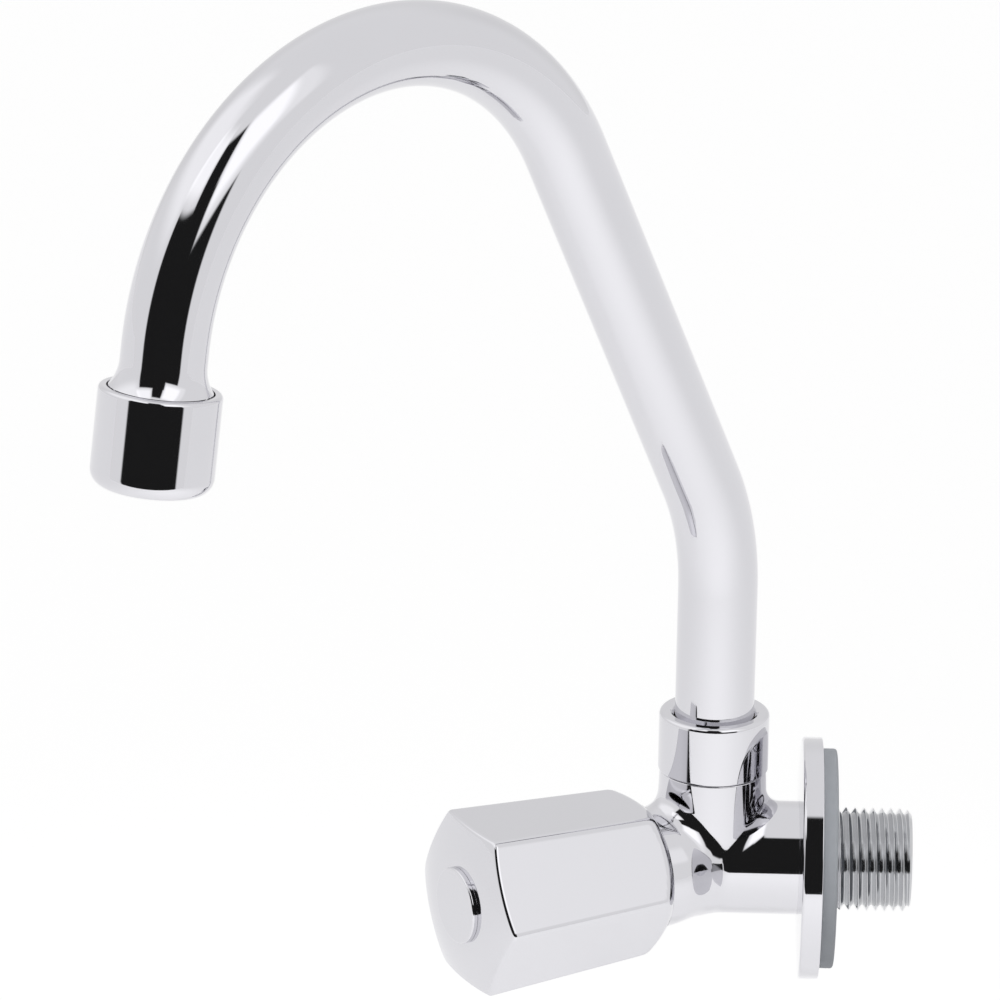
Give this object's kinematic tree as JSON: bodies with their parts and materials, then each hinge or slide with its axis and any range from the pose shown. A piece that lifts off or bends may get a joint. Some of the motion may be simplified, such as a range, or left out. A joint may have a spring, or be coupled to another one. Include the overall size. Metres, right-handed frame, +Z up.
{
  "type": "wall-mounted faucet",
  "caption": "Chrome wall-mounted kitchen tap with a hexagonal screw-down knob, a round wall flange on a threaded inlet and a tall bent spout that swivels and ends in an aerator.",
  "frame": {"origin": "On the inlet axis in the plane of the wall, where the inlet thread starts.", "axes": "+Z up along the riser, +Y into the wall along the inlet thread, the front faces -Y and +X is to the right of someone who faces the wall."},
  "size_m": [0.1437, 0.1567, 0.2184],
  "materials": {
    "polished_chrome": "bright plated",
    "plain_nickel": "plated but not polished, dull",
    "backing_grey": "matte moulded",
    "turned_brass": "turned",
    "fibre": "pressed fibre",
    "black_rubber": "moulded",
    "white_plastic": "moulded",
    "steel": "plain"
  },
  "bodies": {
    "base": {"faucet_body": "polished_chrome", "inlet_nipple": "plain_nickel", "wall_flange": "polished_chrome", "wall_gasket": "backing_grey", "headwork": "turned_brass", "headwork_gasket": "fibre", "gland_nut": "turned_brass", "gland_packing": "fibre", "slip_washer": "white_plastic", "swivel_nut": "polished_chrome"},
    "valve": {"jumper": "turned_brass", "tap_washer": "black_rubber", "washer_nut": "turned_brass"},
    "handle": {"spindle": "turned_brass", "knob": "polished_chrome", "knob_screw": "steel", "index_cap": "polished_chrome"},
    "spout": {"spout_tube": "polished_chrome", "spout_spigot": "turned_brass", "spout_ring_lower": "black_rubber", "spout_ring_upper": "black_rubber", "spout_end_ring": "polished_chrome", "aerator_housing": "polished_chrome", "aerator_washer": "black_rubber", "aerator_insert": "white_plastic", "aerator_screen": "steel"}
  },
  "joints": [
    {"name": "valve_lift", "type": "slide", "parent": "base", "child": "valve", "axis": [0.5, -0.866, 0], "range_m": [0, 0.0035]},
    {"name": "knob_turn", "type": "hinge", "parent": "valve", "child": "handle", "pos_m": [0, -0.0252, 0], "axis": [0.5, -0.866, 0], "range_deg": [0, 630]},
    {"name": "spout_swivel", "type": "hinge", "parent": "base", "child": "spout", "pos_m": [0, -0.0252, 0], "axis": [0, 0, 1], "range_deg": [-135.8, 44.2]}
  ],
  "couplings": [
    {"joint": "knob_turn", "follows": "valve_lift", "rad_per_m": 3141.6}
  ]
}
